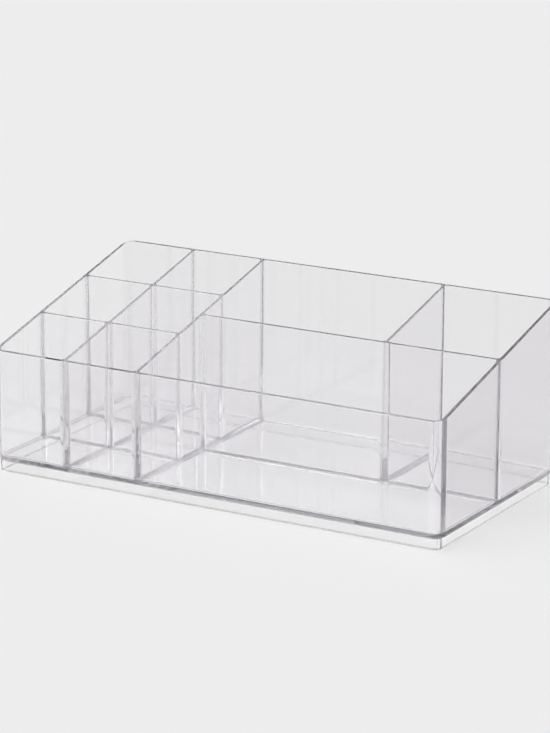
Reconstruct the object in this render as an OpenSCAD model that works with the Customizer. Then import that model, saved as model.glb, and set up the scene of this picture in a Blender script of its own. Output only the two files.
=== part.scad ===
/* [Overall size] */
// Width of the tub along its front
body_w = 305; // [220:1:400]
// Depth of the tub from front to back
body_d = 151; // [130:1:220]
// Height of the rim along the front
front_h = 76; // [50:1:100]
// Height of the rim along the back
back_h = 114.4; // [101:0.1:160]

/* [Outer walls] */
// Thickness of a wall at the rim along the back, where it is thinnest
wall_t = 2; // [1.5:0.1:3]
// Outside radius of the four upright corners
corner_r = 8; // [7:0.5:14]
// Lean in degrees of every inner face, which makes walls and dividers thicker at the foot
draft = 0.4; // [0.2:0.05:0.8]

/* [Floor and base] */
// Thickness of the floor panel
floor_t = 2; // [1.5:0.1:4]
// Height of the ring that the floor stands on
ring_h = 7; // [4:0.5:12]
// Distance from the outside of the tub in to the outside of the ring
ring_inset = 1.25; // [1:0.25:4]
// Thickness of the ring
ring_t = 2; // [1.5:0.1:3]
// How much sharper than the corners of the tub the corners of the ring are, as a radius
ring_sharper = 3; // [1:0.5:3.5]

/* [Dividers] */
// Thickness of a divider at the height of the back rim, where it is thinnest
divider_t = 1.65; // [1.2:0.05:2.5]
// Clearance on each side of a panel in the slot of the panel that it crosses
lap_gap = 0.05; // [0.02:0.01:0.2]
// How far up a crossing the two slots meet, as a share of its height
lap_share = 0.5; // [0.3:0.05:0.7]

/* [Layout] */
// Width of each of the two columns of small cells, middle to middle of their walls
cell_w = 50.8; // [40:0.1:60]
// Depth of the long front bay, from the front of the tub to the middle of its divider
front_bay_d = 75.5; // [50:0.5:100]
// Width of the bay at the back right, from the side of the tub to the middle of its divider
side_bay_w = 76.2; // [50:0.1:100]

/* [Hidden] */
// Rows of small cells from front to back
cell_rows = 3;
row_d = body_d / cell_rows;
floor_z = ring_h + floor_t;
// Widening of one leaning face between the back rim and the floor
lean = (back_h - floor_z) * tan(draft);
wall_foot_t = wall_t + lean;
divider_foot_t = divider_t + 2 * lean;
// How far a cut or a cutting shape runs past what it cuts
over = 1;
// Outside radius of the corners of the ring
ring_r = corner_r - ring_sharper;
// Middles of the dividers
column_x = cell_w - body_w / 2;
main_x = 2 * cell_w - body_w / 2;
short_x = body_w / 2 - side_bay_w;
front_row_y = row_d - body_d / 2;
rear_row_y = 2 * row_d - body_d / 2;
long_y = front_bay_d - body_d / 2;
clear_plastic = [0.88, 0.87, 0.92, 0.5];
edge_plastic = [0.72, 0.71, 0.80, 0.6];
$fn = 96;

// Height of the sloping rim at depth y
function rim_z(y) = front_h + (y + body_d / 2) / body_d * (back_h - front_h);

// Height at which the two slots of a crossing at depth y meet
function lap_z(y) = floor_z + lap_share * (rim_z(y) - floor_z);

// Where a panel ends at the foot and at the back rim: on the inside of an outer wall,
// or on the face of a divider whose middle is at place
function on_wall(outside, side) = [outside + side * wall_foot_t, outside + side * wall_t];
function on_divider(place, side) =
    [place + side * divider_foot_t / 2, place + side * divider_t / 2];

// A flat shape in the XZ plane or in the YZ plane, pulled out between two places
module pull_along_y(from, to) {
    translate([0, to, 0]) rotate([90, 0, 0]) linear_extrude(to - from) children();
}
module pull_along_x(from, to) {
    translate([from, 0, 0]) rotate([90, 0, 90]) linear_extrude(to - from) children();
}

// Everything below the sloping plane that all rims lie in
module under_rim() {
    near = -body_d / 2 - over;
    far = body_d / 2 + over;
    pull_along_x(-body_w / 2 - over, body_w / 2 + over)
        polygon([[near, -over], [far, -over], [far, rim_z(far)], [near, rim_z(near)]]);
}

// Oblong with four round corners
module rounded_oblong(w, d, r) {
    square([w, d - 2 * r], center = true);
    square([w - 2 * r, d], center = true);
    for (x = [r - w / 2, w / 2 - r], y = [r - d / 2, d / 2 - r])
        translate([x, y]) circle(r);
}

// Section of an outer wall: its outside is upright and its inside leans
module wall_section() {
    polygon([[0, floor_z], [wall_foot_t, floor_z], [wall_t, back_h], [0, back_h]]);
}

// Straight wall at the front with a quarter-round corner at each end
module straight_with_corners() {
    straight = body_w / 2 - corner_r;
    translate([0, -body_d / 2, 0]) pull_along_x(-straight, straight) wall_section();
    for (side = [-1, 1])
        translate([side * straight, corner_r - body_d / 2, 0])
            rotate([0, 0, side < 0 ? 180 : 270])
                rotate_extrude(angle = 90)
                    translate([corner_r, 0]) mirror([1, 0]) wall_section();
}

// Straight wall on the left, between the corners
module straight_side() {
    straight = body_d / 2 - corner_r;
    translate([-body_w / 2, 0, 0]) pull_along_y(-straight, straight) wall_section();
}

// Section of a divider: both of its faces lean
module divider_section(gap) {
    foot = divider_foot_t / 2 + gap;
    top = divider_t / 2 + gap;
    polygon([[-foot, floor_z], [foot, floor_z], [top, back_h], [-top, back_h]]);
}

// Divider across the tub, its middle at depth y, and one from front to back at place x
module panel_across(y, left, right, gap = 0) {
    intersection() {
        pull_along_y(-body_d / 2, body_d / 2)
            polygon([[left[0], floor_z], [right[0], floor_z], [right[1], back_h], [left[1], back_h]]);
        translate([0, y, 0]) pull_along_x(-body_w / 2, body_w / 2) divider_section(gap);
    }
}
module panel_front_to_back(x, front, back, gap = 0) {
    intersection() {
        pull_along_x(-body_w / 2, body_w / 2)
            polygon([[front[0], floor_z], [back[0], floor_z], [back[1], back_h], [front[1], back_h]]);
        translate([x, 0, 0]) pull_along_y(-body_d / 2, body_d / 2) divider_section(gap);
    }
}

// The two kinds of divider that cross each other in the small cells
module column_panel(gap = 0) {
    panel_front_to_back(column_x, on_wall(-body_d / 2, 1), on_wall(body_d / 2, -1), gap);
}
module row_panel(y, gap = 0) {
    panel_across(y, on_wall(-body_w / 2, 1), on_divider(main_x, -1), gap);
}

// Space above or below the height at which the slots of the crossing at depth y meet
module above_lap(y) {
    translate([-body_w / 2, -body_d / 2, lap_z(y)]) cube([body_w, body_d, back_h]);
}
module below_lap(y) {
    translate([-body_w / 2, -body_d / 2, 0]) cube([body_w, body_d, lap_z(y)]);
}

// Row divider with a slot in its lower half, dropped over the column divider
module row_divider(y) {
    intersection() {
        under_rim();
        difference() {
            row_panel(y);
            intersection() {
                column_panel(lap_gap);
                below_lap(y);
            }
        }
    }
}

// Low open ring under the floor, which the tub rests on
module base_ring() {
    color(edge_plastic) linear_extrude(ring_h) difference() {
        rounded_oblong(body_w - 2 * ring_inset, body_d - 2 * ring_inset, ring_r);
        rounded_oblong(
            body_w - 2 * (ring_inset + ring_t), body_d - 2 * (ring_inset + ring_t), ring_r - ring_t
        );
    }
}

module floor_panel() {
    color(clear_plastic) translate([0, 0, ring_h]) linear_extrude(floor_t)
        rounded_oblong(body_w, body_d, corner_r);
}

module front_wall() {
    color(clear_plastic) intersection() {
        straight_with_corners();
        under_rim();
    }
}

module back_wall() {
    color(clear_plastic) intersection() {
        mirror([0, 1, 0]) straight_with_corners();
        under_rim();
    }
}

module left_wall() {
    color(clear_plastic) intersection() {
        straight_side();
        under_rim();
    }
}

module right_wall() {
    color(clear_plastic) intersection() {
        mirror([1, 0, 0]) straight_side();
        under_rim();
    }
}

// Divider between the two columns of small cells, with a slot from above for each row divider
module column_divider() {
    color(edge_plastic) intersection() {
        under_rim();
        difference() {
            column_panel();
            for (y = [front_row_y, rear_row_y]) intersection() {
                row_panel(y, lap_gap);
                above_lap(y);
            }
        }
    }
}

// Divider between the small cells and the wide bays
module main_divider() {
    color(edge_plastic) intersection() {
        under_rim();
        panel_front_to_back(main_x, on_wall(-body_d / 2, 1), on_wall(body_d / 2, -1));
    }
}

module front_row_divider() {
    color(clear_plastic) row_divider(front_row_y);
}

module rear_row_divider() {
    color(clear_plastic) row_divider(rear_row_y);
}

// Divider behind the long front bay
module long_divider() {
    color(clear_plastic) intersection() {
        under_rim();
        panel_across(long_y, on_divider(main_x, 1), on_wall(body_w / 2, -1));
    }
}

// Divider between the two bays at the back
module short_divider() {
    color(edge_plastic) intersection() {
        under_rim();
        panel_front_to_back(short_x, on_divider(long_y, 1), on_wall(body_d / 2, -1));
    }
}

base_ring();
floor_panel();
front_wall();
back_wall();
left_wall();
right_wall();
column_divider();
main_divider();
front_row_divider();
rear_row_divider();
long_divider();
short_divider();
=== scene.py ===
import math

import bmesh
import bpy
from mathutils import Matrix, Vector

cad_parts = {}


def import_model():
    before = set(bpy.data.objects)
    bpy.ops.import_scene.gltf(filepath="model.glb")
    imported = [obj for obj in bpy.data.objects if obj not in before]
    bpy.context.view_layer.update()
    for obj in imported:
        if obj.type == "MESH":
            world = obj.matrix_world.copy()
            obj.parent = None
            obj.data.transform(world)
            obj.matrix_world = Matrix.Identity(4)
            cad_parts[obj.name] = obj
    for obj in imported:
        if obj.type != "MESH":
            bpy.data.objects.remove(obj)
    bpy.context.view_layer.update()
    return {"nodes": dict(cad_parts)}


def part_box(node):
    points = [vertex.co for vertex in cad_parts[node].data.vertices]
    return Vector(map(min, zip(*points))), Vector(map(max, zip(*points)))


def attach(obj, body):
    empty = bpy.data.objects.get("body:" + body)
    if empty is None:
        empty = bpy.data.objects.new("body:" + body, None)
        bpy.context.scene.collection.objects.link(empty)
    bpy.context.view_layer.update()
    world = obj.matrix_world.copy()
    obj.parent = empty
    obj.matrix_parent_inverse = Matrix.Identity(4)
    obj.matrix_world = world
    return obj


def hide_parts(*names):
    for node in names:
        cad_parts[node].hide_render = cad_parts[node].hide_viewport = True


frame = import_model()
print("Frame loaded:", len(frame["nodes"]), "nodes")

mm = 0.001


# Small helpers round the operators

def deselectAll():
    bpy.ops.object.select_all(action="DESELECT")


def makeActive(piece):
    deselectAll()
    piece.select_set(True)
    bpy.context.view_layer.objects.active = piece


def startEdit(piece, mode):
    makeActive(piece)
    bpy.ops.object.mode_set(mode="EDIT")
    bpy.ops.mesh.select_mode(type=mode)
    bpy.ops.mesh.select_all(action="DESELECT")


def endEdit():
    bpy.ops.object.mode_set(mode="OBJECT")


def pickEdges(piece, test):
    mesh = bmesh.from_edit_mesh(piece.data)
    for edge in mesh.edges:
        edge.select_set(test(edge.verts[0].co, edge.verts[1].co))
    bmesh.update_edit_mesh(piece.data)


def pickTop(piece):
    mesh = bmesh.from_edit_mesh(piece.data)
    level = 0.9
    for face in mesh.faces:
        face.select_set(face.normal.z > level)
    bmesh.update_edit_mesh(piece.data)


def isUpright(a, b):
    steep = 0.8
    return abs(a.z - b.z) > steep * (a - b).length


def bevelPicked(radius, segments):
    bpy.ops.mesh.bevel(offset=radius, segments=segments, affect="EDGES", clamp_overlap=False)


def roundUprights(piece, radius, segments, places=None):
    # places are points in plan that the upright edges stand near, or None for all of them
    startEdit(piece, "EDGE")
    near = 1.2 * mm
    pickEdges(
        piece,
        lambda a, b: isUpright(a, b)
        and (
            places is None
            or any(math.hypot((a.x + b.x) / 2 - x, (a.y + b.y) / 2 - y) < near for x, y in places)
        ),
    )
    bevelPicked(radius, segments)
    endEdit()


def roundLevelEdges(piece, height, radius, segments):
    level = 0.001 * mm
    startEdit(piece, "EDGE")
    pickEdges(piece, lambda a, b: abs(a.z - height) < level and abs(b.z - height) < level)
    bevelPicked(radius, segments)
    endEdit()


def boxOf(piece):
    corners = [piece.matrix_world @ v.co for v in piece.data.vertices]
    low = Vector([min(c[i] for c in corners) for i in range(3)])
    high = Vector([max(c[i] for c in corners) for i in range(3)])
    return low, high


def resizeTop(piece, scale):
    low, high = boxOf(piece)
    startEdit(piece, "FACE")
    pickTop(piece)
    centre = ((low.x + high.x) / 2, (low.y + high.y) / 2, high.z)
    bpy.ops.transform.resize(value=(scale[0], scale[1], 1), center_override=centre)
    endEdit()


def copyOf(piece, name):
    twin = piece.copy()
    twin.data = piece.data.copy()
    twin.name = name
    bpy.context.collection.objects.link(twin)
    return twin


def combine(piece, tool, operation):
    makeActive(piece)
    step = piece.modifiers.new("Boolean", "BOOLEAN")
    step.operation = operation
    step.solver = "EXACT"
    step.material_mode = "INDEX"
    step.object = tool
    bpy.ops.object.modifier_apply(modifier=step.name)
    bpy.data.objects.remove(tool)


# The whole organizer is moulded first, as the real one is, and parted into its pieces after.
tub = {
    "draft": math.radians(0.4),  # lean of every inner face
    "wallAtRim": 2.0 * mm,
    "cornerRadius": 8.0 * mm,  # outside
    "cornerSegments": 20,
    "innerCorner": 3.5 * mm,
    "innerSegments": 12,
    "uprightFillet": 2.4 * mm,  # where dividers and walls run into each other
    "footFillet": 2.25 * mm,  # where they run into the floor
    "filletSegments": 6,
    "heelRadius": 0.6 * mm,  # outer edge under the floor
    "heelSegments": 5,
    "edgeRadius": 0.35 * mm,  # polished rims
    "edgeSegments": 3,
    "edgeAngle": math.radians(40),  # edges sharper than this are polished
}

skinSlot = bpy.data.materials.new("skin")
jointSlot = bpy.data.materials.new("joint")


def addBlock(name, low, high):
    low, high = Vector(low), Vector(high)
    deselectAll()
    bpy.ops.mesh.primitive_cube_add(size=1, location=(low + high) / 2, scale=high - low)
    block = bpy.context.object
    block.name = name
    bpy.ops.object.transform_apply(location=True, rotation=True, scale=True)
    block.data.materials.append(skinSlot)
    block.data.materials.append(jointSlot)
    return block


def middleOf(node, axis):
    low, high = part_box(node)
    return (low[axis] + high[axis]) / 2


# Places read from the frame
floorLow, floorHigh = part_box("floor_panel")
backLow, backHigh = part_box("back_wall")
frontLow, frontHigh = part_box("front_wall")
ringLow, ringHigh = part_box("base_ring")
mainLow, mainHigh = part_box("main_divider")
ringTop = floorLow.z
floorZ = floorHigh.z
rimSlope = (backHigh.z - frontHigh.z) / (backHigh.y - frontHigh.y)
lean = (backHigh.z - floorZ) * math.tan(tub["draft"])
wallFoot = tub["wallAtRim"] + lean
halfFoot = (mainHigh.x - mainLow.x) / 2
columnX = middleOf("column_divider", 0)
mainX = middleOf("main_divider", 0)
shortX = middleOf("short_divider", 0)
frontRowY = middleOf("front_row_divider", 1)
rearRowY = middleOf("rear_row_divider", 1)
longY = middleOf("long_divider", 1)
over = 10 * mm
topZ = backHigh.z + over
spread = (topZ - floorZ) * math.tan(tub["draft"])
inner = {
    "left": floorLow.x + wallFoot,
    "right": floorHigh.x - wallFoot,
    "front": floorLow.y + wallFoot,
    "back": floorHigh.y - wallFoot,
}


def rimAt(y):
    return backHigh.z + (y - backHigh.y) * rimSlope


def makeTubBlock():
    block = addBlock("moulding", floorLow, (floorHigh.x, floorHigh.y, topZ))
    roundUprights(block, tub["cornerRadius"], tub["cornerSegments"])
    roundLevelEdges(block, floorLow.z, tub["heelRadius"], tub["heelSegments"])
    startEdit(block, "FACE")
    bpy.ops.mesh.select_all(action="SELECT")
    bpy.ops.mesh.bisect(
        plane_co=(0, backHigh.y, backHigh.z),
        plane_no=(0, -rimSlope, 1),
        use_fill=True,
        clear_outer=True,
    )
    endEdit()
    return block


ring = {
    "thickness": 2.0 * mm,
    "cornerRadius": 5.0 * mm,  # outside
    "segments": 14,
    "rootFillet": 0.8 * mm,  # inside, where the ring runs into the floor
    "rootSegments": 3,
    "footRadius": 0.8 * mm,  # outer edge that it stands on
    "footSegments": 5,
}


def makeRingBlock():
    block = addBlock("ringBlock", ringLow, (ringHigh.x, ringHigh.y, ringTop + ring["thickness"] / 2))
    roundUprights(block, ring["cornerRadius"], ring["segments"])
    roundLevelEdges(block, ringLow.z, ring["footRadius"], ring["footSegments"])
    return block


def makeRecess():
    step = Vector((ring["thickness"], ring["thickness"], 0))
    low, high = ringLow + step, ringHigh - step
    block = addBlock("recess", (low.x, low.y, -over), (high.x, high.y, ringTop))
    roundUprights(block, ring["cornerRadius"] - ring["thickness"], ring["segments"])
    roundLevelEdges(block, ringTop, ring["rootFillet"], ring["rootSegments"])
    return block


# One compartment, as a solid to cut away. Its bigger corner is where two outer walls meet.
def makeCell(name, left, right, front, back, bigCorner=None):
    cell = addBlock(name, (left, front, floorZ), (right, back, topZ))
    low, high = boxOf(cell)
    resizeTop(cell, (1 + 2 * spread / (high.x - low.x), 1 + 2 * spread / (high.y - low.y)))
    corners = [(x, y) for x in (left, right) for y in (front, back)]
    if bigCorner:
        corners.remove(bigCorner)
        roundUprights(cell, tub["innerCorner"], tub["innerSegments"], [bigCorner])
    roundUprights(cell, tub["uprightFillet"], tub["filletSegments"], corners)
    roundLevelEdges(cell, floorZ, tub["footFillet"], tub["filletSegments"])
    return cell


smallColumns = [(inner["left"], columnX - halfFoot), (columnX + halfFoot, mainX - halfFoot)]
smallRows = [
    (inner["front"], frontRowY - halfFoot),
    (frontRowY + halfFoot, rearRowY - halfFoot),
    (rearRowY + halfFoot, inner["back"]),
]
cells = [("cell", *column, *row) for column in smallColumns for row in smallRows]
cells.append(("frontBay", mainX + halfFoot, inner["right"], inner["front"], longY - halfFoot))
cells.append(("rearBay", mainX + halfFoot, shortX - halfFoot, longY + halfFoot, inner["back"]))
cells.append(("sideBay", shortX + halfFoot, inner["right"], longY + halfFoot, inner["back"]))
tubCorners = [(inner[x], inner[y]) for x in ("left", "right") for y in ("front", "back")]

moulding = makeTubBlock()
combine(moulding, makeRingBlock(), "UNION")
combine(moulding, makeRecess(), "DIFFERENCE")
for name, left, right, front, back in cells:
    own = [(x, y) for x, y in tubCorners if x in (left, right) and y in (front, back)]
    cell = makeCell(name, left, right, front, back, own[0] if own else None)
    combine(moulding, cell, "DIFFERENCE")
print("Moulding cut:", len(moulding.data.polygons), "faces")

makeActive(moulding)
polish = moulding.modifiers.new("Polish", "BEVEL")
polish.width = tub["edgeRadius"]
polish.segments = tub["edgeSegments"]
polish.limit_method = "ANGLE"
polish.angle_limit = tub["edgeAngle"]
polish.use_clamp_overlap = False
bpy.ops.object.modifier_apply(modifier=polish.name)
print("Edges polished:", len(moulding.data.polygons), "faces")

# The cuts between pieces lie just past the fillets, and a hair's breadth of air keeps two
# cut faces from lying in one plane.
parting = {
    "past": 0.15 * mm,  # how far past a fillet one piece hands over to the next
    "hair": 0.01 * mm,
    "lapShare": 0.5,  # how far up two crossing dividers change places
}
beside = tub["uprightFillet"] + parting["past"]
above = tub["footFillet"] + parting["past"]
under = ring["rootFillet"] + parting["past"]
far = Vector((floorHigh.x + over, floorHigh.y + over, topZ + over))


def asTool(block):
    for face in block.data.polygons:
        face.material_index = 1
    return block


def toolBlock(low, high):
    return asTool(addBlock("tool", low, high))


def toolSlab(axis, place, room):
    # A leaning slab round a divider, with room on both sides of it
    foot = halfFoot + room
    low, high = -far, far.copy()
    low[axis], high[axis] = place - foot, place + foot
    low.z, high.z = floorZ, topZ
    slab = addBlock("slab", low, high)
    squeeze = [1, 1]
    squeeze[axis] = 1 - spread / foot
    resizeTop(slab, squeeze)
    return asTool(slab)


def toolCore(room):
    # All that stands inside the outer walls, with room to them
    low = Vector((inner["left"] + room, inner["front"] + room, floorZ))
    high = Vector((inner["right"] - room, inner["back"] - room, topZ))
    core = addBlock("core", low, high)
    resizeTop(core, (1 + 2 * spread / (high.x - low.x), 1 + 2 * spread / (high.y - low.y)))
    roundUprights(core, tub["innerCorner"] - room, tub["innerSegments"])
    return asTool(core)


def toolColumn(hair):
    # The column divider has its slots above the lap, and the row dividers theirs below it
    tool = toolSlab(0, columnX, beside + hair)
    for y in (frontRowY, rearRowY):
        crossing = toolSlab(1, y, beside - hair)
        lap = floorZ + parting["lapShare"] * (rimAt(y) - floorZ)
        combine(crossing, toolBlock((-far.x, -far.y, lap + hair), far), "INTERSECT")
        combine(tool, crossing, "DIFFERENCE")
    return tool


def split(whole, insideName, outsideName, makeTool):
    # makeTool is given the hair that the tool is to be larger by
    inside = copyOf(whole, insideName)
    combine(inside, makeTool(0), "INTERSECT")
    outside = copyOf(whole, outsideName)
    combine(outside, makeTool(parting["hair"]), "DIFFERENCE")
    bpy.data.objects.remove(whole)
    return inside, outside


def below(z):
    return lambda hair: toolBlock((-far.x, -far.y, -over), (far.x, far.y, z + hair))


def before(y):
    return lambda hair: toolBlock((-far.x, -far.y, -over), (far.x, y + hair, far.z))


def leftOf(x):
    return lambda hair: toolBlock((-far.x, -far.y, -over), (x + hair, far.y, far.z))


corner = tub["cornerRadius"]
foot, upper = split(moulding, "foot", "upper", below(floorZ + above))
baseRing, floorPanel = split(foot, "clearRing", "clearFloor", below(ringTop - under))
grid, shell = split(upper, "grid", "shell", lambda hair: toolCore(beside - hair))
frontWall, rest = split(shell, "clearFrontWall", "rest", before(floorLow.y + corner))
sides, backWall = split(rest, "sides", "clearBackWall", before(floorHigh.y - corner))
leftWall, rightWall = split(sides, "clearLeftWall", "clearRightWall", leftOf(0))
mainDivider, rest = split(
    grid, "clearMainDivider", "rest", lambda hair: toolSlab(0, mainX, beside + hair)
)
smallGrid, wideGrid = split(rest, "smallGrid", "wideGrid", leftOf(mainX))
longDivider, shortDivider = split(
    wideGrid, "clearLongDivider", "clearShortDivider", lambda hair: toolSlab(1, longY, beside + hair)
)
columnDivider, rows = split(smallGrid, "clearColumnDivider", "rows", toolColumn)
frontRow, rearRow = split(rows, "clearFrontRow", "clearRearRow", before(0))
print("Parted into pieces")

# Small helpers for materials and the world

def calc(tree, operation, *values):
    node = tree.nodes.new("ShaderNodeMath")
    node.operation = operation
    for socket, value in zip(node.inputs, values):
        if isinstance(value, (int, float)):
            socket.default_value = value
        else:
            tree.links.new(value, socket)
    return node.outputs[0]


def ramp(tree, value, low, high, bottom=0, top=1):
    # A smooth step from bottom to top while the value goes from low to high
    node = tree.nodes.new("ShaderNodeMapRange")
    node.interpolation_type = "SMOOTHSTEP"
    for name, given in zip(("From Min", "From Max", "To Min", "To Max"), (low, high, bottom, top)):
        node.inputs[name].default_value = given
    tree.links.new(value, node.inputs["Value"])
    return node.outputs["Result"]


def lookedAt(tree):
    # 1 for what the camera and the plastic see, 0 for the light that falls on a surface
    way = tree.nodes.new("ShaderNodeLightPath").outputs
    straight = calc(tree, "MAXIMUM", way["Is Camera Ray"], way["Is Transmission Ray"])
    return calc(tree, "MAXIMUM", straight, way["Is Glossy Ray"])


# One surface for all the plastic. Object coordinates are metres, so a scale of 20 is a pattern
# of 50 mm, and a stretch below 1 draws it out along that axis.
moulded = {
    "rippleScale": 22,  # broad ripples of the melt
    "rippleStretch": (1, 1, 0.35),
    "rippleShade": 0.016,
    "streakScale": 90,
    "streakStretch": (1, 1, 0.08),
    "streakDepth": 0.1,
    "hazeBetween": 0.5,  # haze between two streaks, as a share of the whole
    "skinScale": 900,  # fine skin
    "skinDepth": 0.004,
    "patchScale": 25,  # where scratches come together
    "patchEdges": (0.5, 0.66),
    "hairsA": (40, (1, 60, 60), (0.3, 0.5, 0.4)),  # scale, stretch and turn
    "hairsAEdges": (0.66, 0.72),
    "hairsB": (34, (60, 1, 50), (0.7, -0.4, 1.1)),
    "hairsBEdges": (0.67, 0.73),
    "scratchHaze": 0.12,
    "scratchDepth": -0.02,
    "scuffAndShadeFrom": 1.5 * mm,  # the lowest part is scuffed by what it stands on, and darkened there as a painted contact shadow
    "scuffAndShadeTo": 0.6 * mm,
    "scuffScale": 300,
    "scuffEdges": (0.3, 0.7),
    "scuffHaze": 0.3,
    # painted contact shadow: how much the lowest band is darkened
    "paintedContactShade": -0.3,
    "scuffSpots": -0.05,
}


def makeMouldedGroup():
    group = bpy.data.node_groups.new("mouldedClear", "ShaderNodeTree")
    face = group.interface
    face.new_socket("Tint", in_out="INPUT", socket_type="NodeSocketColor")
    for name in ("Flow", "Haze", "Scratches", "Foot Wear And Shade"):
        face.new_socket(name, in_out="INPUT", socket_type="NodeSocketFloat")
    face.new_socket("Tint", in_out="OUTPUT", socket_type="NodeSocketColor")
    face.new_socket("Roughness", in_out="OUTPUT", socket_type="NodeSocketFloat")
    face.new_socket("Height", in_out="OUTPUT", socket_type="NodeSocketFloat")
    nodes, links = group.nodes, group.links
    given = nodes.new("NodeGroupInput")
    made = nodes.new("NodeGroupOutput")
    place = nodes.new("ShaderNodeTexCoord").outputs["Object"]

    def noise(scale, stretch=(1, 1, 1), turn=(0, 0, 0), detail=1.0):
        mapping = nodes.new("ShaderNodeMapping")
        mapping.inputs["Scale"].default_value = stretch
        mapping.inputs["Rotation"].default_value = turn
        links.new(place, mapping.inputs["Vector"])
        texture = nodes.new("ShaderNodeTexNoise")
        texture.inputs["Scale"].default_value = scale
        texture.inputs["Detail"].default_value = detail
        links.new(mapping.outputs["Vector"], texture.inputs["Vector"])
        return texture.outputs["Fac"]

    ripples = noise(moulded["rippleScale"], moulded["rippleStretch"])
    streaks = noise(moulded["streakScale"], moulded["streakStretch"], detail=2.0)
    skin = noise(moulded["skinScale"])
    patches = ramp(group, noise(moulded["patchScale"]), *moulded["patchEdges"])
    hairsA = ramp(group, noise(*moulded["hairsA"]), *moulded["hairsAEdges"])
    hairsB = ramp(group, noise(*moulded["hairsB"]), *moulded["hairsBEdges"])
    hairs = calc(group, "MULTIPLY", calc(group, "MAXIMUM", hairsA, hairsB), patches)
    scratches = calc(group, "MULTIPLY", hairs, given.outputs["Scratches"])
    height = nodes.new("ShaderNodeSeparateXYZ")
    links.new(place, height.inputs[0])
    # the lowest band carries real scuffs for the roughness and a painted contact shadow for the
    # shade
    low = ramp(group, height.outputs["Z"], moulded["scuffAndShadeFrom"], moulded["scuffAndShadeTo"])
    low = calc(group, "MULTIPLY", low, given.outputs["Foot Wear And Shade"])
    spots = ramp(group, noise(moulded["scuffScale"], detail=2.0), *moulded["scuffEdges"])
    scuffs = calc(group, "MULTIPLY", low, spots)

    haze = calc(group, "ADD", moulded["hazeBetween"], streaks)
    haze = calc(group, "MULTIPLY", given.outputs["Haze"], haze)
    haze = calc(group, "MULTIPLY_ADD", scratches, moulded["scratchHaze"], haze)
    haze = calc(group, "MULTIPLY_ADD", scuffs, moulded["scuffHaze"], haze)
    links.new(haze, made.inputs["Roughness"])

    relief = calc(group, "MULTIPLY_ADD", streaks, moulded["streakDepth"], ripples)
    relief = calc(group, "MULTIPLY", relief, given.outputs["Flow"])
    relief = calc(group, "MULTIPLY_ADD", skin, moulded["skinDepth"], relief)
    relief = calc(group, "MULTIPLY_ADD", scratches, moulded["scratchDepth"], relief)
    links.new(relief, made.inputs["Height"])

    level = 1 - moulded["rippleShade"] / 2
    shade = calc(group, "MULTIPLY_ADD", ripples, moulded["rippleShade"], level)
    shade = calc(group, "MULTIPLY_ADD", scuffs, moulded["scuffSpots"], shade)
    # painted contact shadow: the lowest band is darkened where the foot meets the table
    shade = calc(group, "MULTIPLY_ADD", low, moulded["paintedContactShade"], shade)
    tint = nodes.new("ShaderNodeHueSaturation")
    links.new(given.outputs["Tint"], tint.inputs["Color"])
    links.new(shade, tint.inputs["Value"])
    links.new(tint.outputs["Color"], made.inputs["Tint"])
    return group


mouldedGroup = makeMouldedGroup()
plastic = {
    "ior": 1.57,
    "depthColour": (0.715, 0.705, 0.73, 1),  # faint lavender, where light runs along inside
    "reliefDepth": 0.015 * mm,
}


def makePlastic(name, look):
    material = bpy.data.materials.new(name)
    material.use_nodes = True
    tree = material.node_tree
    nodes, links = tree.nodes, tree.links
    nodes.clear()
    output = nodes.new("ShaderNodeOutputMaterial")
    body = nodes.new("ShaderNodeBsdfPrincipled")
    body.inputs["IOR"].default_value = plastic["ior"]
    body.inputs["Transmission Weight"].default_value = 1
    detail = nodes.new("ShaderNodeGroup")
    detail.node_tree = mouldedGroup
    detail.inputs["Tint"].default_value = look["tint"]
    for socket, value in look["surface"].items():
        detail.inputs[socket].default_value = value
    bump = nodes.new("ShaderNodeBump")
    bump.inputs["Distance"].default_value = plastic["reliefDepth"]
    links.new(detail.outputs["Height"], bump.inputs["Height"])
    links.new(detail.outputs["Tint"], body.inputs["Base Color"])
    links.new(detail.outputs["Roughness"], body.inputs["Roughness"])
    links.new(bump.outputs["Normal"], body.inputs["Normal"])
    # A face that only parts two pieces of the moulding can't be seen
    joint = nodes.new("ShaderNodeAttribute")
    joint.attribute_name = "joint"
    links.new(calc(tree, "SUBTRACT", 1, joint.outputs["Fac"]), body.inputs["Alpha"])
    links.new(body.outputs[0], output.inputs["Surface"])
    depth = nodes.new("ShaderNodeVolumeAbsorption")
    depth.inputs["Color"].default_value = plastic["depthColour"]
    depth.inputs["Density"].default_value = look["depth"]
    links.new(depth.outputs[0], output.inputs["Volume"])
    return material


# How each part of the moulding looks: its surface, the tint that light takes on passing
# through, and how strongly the depth of the plastic colours it. The greyer tints of the right
# wall and the short divider are painted shade.
wallSurface = {"Flow": 1.0, "Haze": 0.015, "Scratches": 0.5, "Foot Wear And Shade": 0.0}
dividerSurface = {"Flow": 0.8, "Haze": 0.012, "Scratches": 0.25, "Foot Wear And Shade": 0.0}
floorSurface = {"Flow": 1.2, "Haze": 0.02, "Scratches": 1.0, "Foot Wear And Shade": 0.0}
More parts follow.
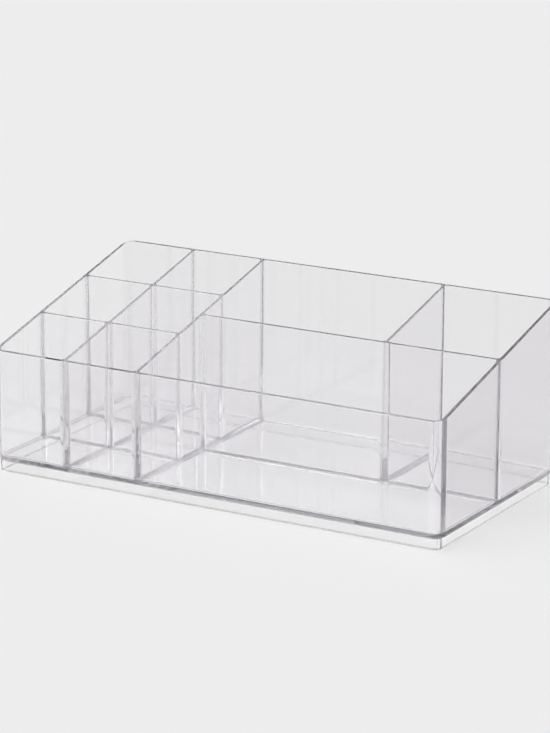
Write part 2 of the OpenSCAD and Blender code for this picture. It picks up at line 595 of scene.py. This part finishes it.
# the ring's foot band gets real scuffs and the painted contact shadow
ringSurface = {"Flow": 0.6, "Haze": 0.02, "Scratches": 0.5, "Foot Wear And Shade": 1.0}
paleTint = (0.985, 0.981, 0.987, 1)
looks = {
    "clearWall": {"surface": wallSurface, "tint": paleTint, "depth": 20},
    "clearLeft": {"surface": wallSurface, "tint": paleTint, "depth": 8},
    # painted shade: the right wall's tint is greyed to stand for the darker surroundings it reflects
    "clearSidePaintedShade": {"surface": wallSurface, "tint": (0.89, 0.875, 0.895, 1), "depth": 22},
    "clearLong": {"surface": wallSurface, "tint": paleTint, "depth": 36},
    "clearRow": {"surface": dividerSurface, "tint": paleTint, "depth": 17},
    "clearDivider": {"surface": dividerSurface, "tint": paleTint, "depth": 6},
    # painted shade: the short divider's tint is greyed to stand for the darker surroundings it
    # reflects
    "clearShortPaintedShade": {"surface": wallSurface, "tint": (0.94, 0.93, 0.944, 1), "depth": 3},
    "clearBack": {"surface": wallSurface, "tint": (0.95, 0.946, 0.954, 1), "depth": 20},
    "clearFloor": {"surface": floorSurface, "tint": (0.99, 0.988, 0.992, 1), "depth": 26},
    "clearRing": {"surface": ringSurface, "tint": (1.0, 0.998, 1.0, 1), "depth": 5},
}
plastics = {name: makePlastic(name, look) for name, look in looks.items()}
print("Plastics mixed:", len(plastics))

smoothing = {
    "angle": math.radians(35),  # edges sharper than this stay sharp
    "flatWeight": 80,  # how strongly the big flat faces set the shading
}


def smoothPiece(piece):
    makeActive(piece)
    bpy.ops.object.shade_smooth_by_angle(angle=smoothing["angle"])
    flats = piece.modifiers.new("Flats stay flat", "WEIGHTED_NORMAL")
    flats.mode = "FACE_AREA"
    flats.weight = smoothing["flatWeight"]
    flats.keep_sharp = True
    bpy.ops.object.modifier_apply(modifier=flats.name)


def finishPiece(piece, node, plasticName):
    smoothPiece(piece)
    cut = [float(face.material_index == 1) for face in piece.data.polygons]
    joint = piece.data.attributes.new("joint", "FLOAT", "FACE")
    joint.data.foreach_set("value", cut)
    for face in piece.data.polygons:
        face.material_index = 0
    piece.data.materials.clear()
    piece.data.materials.append(plastics[plasticName])
    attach(piece, "root")
    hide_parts(node)
    print(piece.name, "for", node, "has", len(cut), "faces,", int(sum(cut)), "of them joints")


finishPiece(baseRing, "base_ring", "clearRing")
finishPiece(floorPanel, "floor_panel", "clearFloor")
finishPiece(frontWall, "front_wall", "clearWall")
finishPiece(backWall, "back_wall", "clearBack")
finishPiece(leftWall, "left_wall", "clearLeft")
finishPiece(rightWall, "right_wall", "clearSidePaintedShade")
finishPiece(columnDivider, "column_divider", "clearDivider")
finishPiece(mainDivider, "main_divider", "clearDivider")
finishPiece(frontRow, "front_row_divider", "clearRow")
finishPiece(rearRow, "rear_row_divider", "clearRow")
finishPiece(longDivider, "long_divider", "clearLong")
finishPiece(shortDivider, "short_divider", "clearShortPaintedShade")
for spare in (skinSlot, jointSlot):
    bpy.data.materials.remove(spare)

# The table top, a sheet of pale paper
table = {
    "size": 16,
    "colour": (0.82, 0.82, 0.815, 1),
    "roughness": 0.85,
    "shine": 0.1,
    "glow": (0.852, 0.852, 0.85, 1),  # as pale as the paper in full light
    "glowShare": 0.7,  # how much of the glow the camera and the plastic see
}


def makePaper():
    material = bpy.data.materials.new("palePaper")
    material.use_nodes = True
    tree = material.node_tree
    sheet = tree.nodes["Principled BSDF"]
    sheet.inputs["Base Color"].default_value = table["colour"]
    sheet.inputs["Roughness"].default_value = table["roughness"]
    sheet.inputs["Specular IOR Level"].default_value = table["shine"]
    glow = tree.nodes.new("ShaderNodeEmission")
    glow.inputs["Color"].default_value = table["glow"]
    blend = tree.nodes.new("ShaderNodeMixShader")
    share = calc(tree, "MULTIPLY", lookedAt(tree), table["glowShare"])
    tree.links.new(share, blend.inputs["Fac"])
    tree.links.new(sheet.outputs["BSDF"], blend.inputs[1])
    tree.links.new(glow.outputs["Emission"], blend.inputs[2])
    tree.links.new(blend.outputs["Shader"], tree.nodes["Material Output"].inputs["Surface"])
    return material


deselectAll()
bpy.ops.mesh.primitive_plane_add(size=table["size"], location=(0, 0, 0))
tableTop = bpy.context.object
tableTop.name = "paleTable"
tableTop.data.materials.append(makePaper())
print("Table laid")

# Light: a pale room, brighter towards the front left above. Low down it has a pale backdrop
# all round, which only the camera and the plastic see.
light = {
    "colour": (0.97, 0.97, 0.98, 1),
    "room": 0.45,
    "softbox": 3.6,
    "softboxReach": math.radians(45),
    "softboxAt": Vector((-1.1, -0.6, 1.0)).normalized(),
    "backdrop": 0.8,
    "backdropFrom": 0.55,  # rise of the direction at which it starts
    "backdropTo": 0.25,  # and at which it is fully there
}


def makeStudio():
    world = bpy.data.worlds.new("studio")
    world.use_nodes = True
    tree = world.node_tree
    direction = tree.nodes.new("ShaderNodeTexCoord").outputs["Generated"]
    towards = tree.nodes.new("ShaderNodeVectorMath")
    towards.operation = "DOT_PRODUCT"
    towards.inputs[1].default_value = light["softboxAt"]
    tree.links.new(direction, towards.inputs[0])
    room, full = light["room"], light["room"] + light["softbox"]
    shine = ramp(tree, towards.outputs["Value"], math.cos(light["softboxReach"]), 1, room, full)
    rise = tree.nodes.new("ShaderNodeSeparateXYZ")
    tree.links.new(direction, rise.inputs[0])
    more = light["backdrop"] - room
    low = ramp(tree, rise.outputs["Z"], light["backdropFrom"], light["backdropTo"], 0, more)
    strength = calc(tree, "MULTIPLY_ADD", low, lookedAt(tree), shine)
    air = tree.nodes["Background"]
    air.inputs["Color"].default_value = light["colour"]
    tree.links.new(strength, air.inputs["Strength"])
    world.cycles.sampling_method = "NONE"
    return world


bpy.context.scene.world = makeStudio()
print("Light set")

# Camera, fitted to the photograph's edges
cam = {
    "place": Vector((0.9408, -1.6199, 0.5899)),
    "yaw": math.radians(30.121),
    "pitch": math.radians(15.525),
    "roll": math.radians(0.193),
    "lens": 158.62,
    "sensor": 36,
}
deselectAll()
bpy.ops.object.camera_add()
camera = bpy.context.object
camera.name = "photoCamera"
camera.data.lens = cam["lens"]
camera.data.sensor_width = cam["sensor"]
turn = (
    Matrix.Rotation(cam["yaw"], 4, "Z")
    @ Matrix.Rotation(math.pi / 2 - cam["pitch"], 4, "X")
    @ Matrix.Rotation(cam["roll"], 4, "Z")
)
camera.matrix_world = Matrix.Translation(cam["place"]) @ turn
bpy.context.scene.camera = camera

bpy.context.scene.view_settings.view_transform = "Standard"
bounces = {
    "clear": 400,  # light runs along inside clear walls for hundreds of reflections
    "dull": 4,
}
cycles = bpy.context.scene.cycles
cycles.max_bounces = bounces["clear"]
cycles.transmission_bounces = bounces["clear"]
cycles.glossy_bounces = bounces["clear"]
cycles.transparent_max_bounces = bounces["clear"]
cycles.diffuse_bounces = bounces["dull"]
cycles.blur_glossy = 0
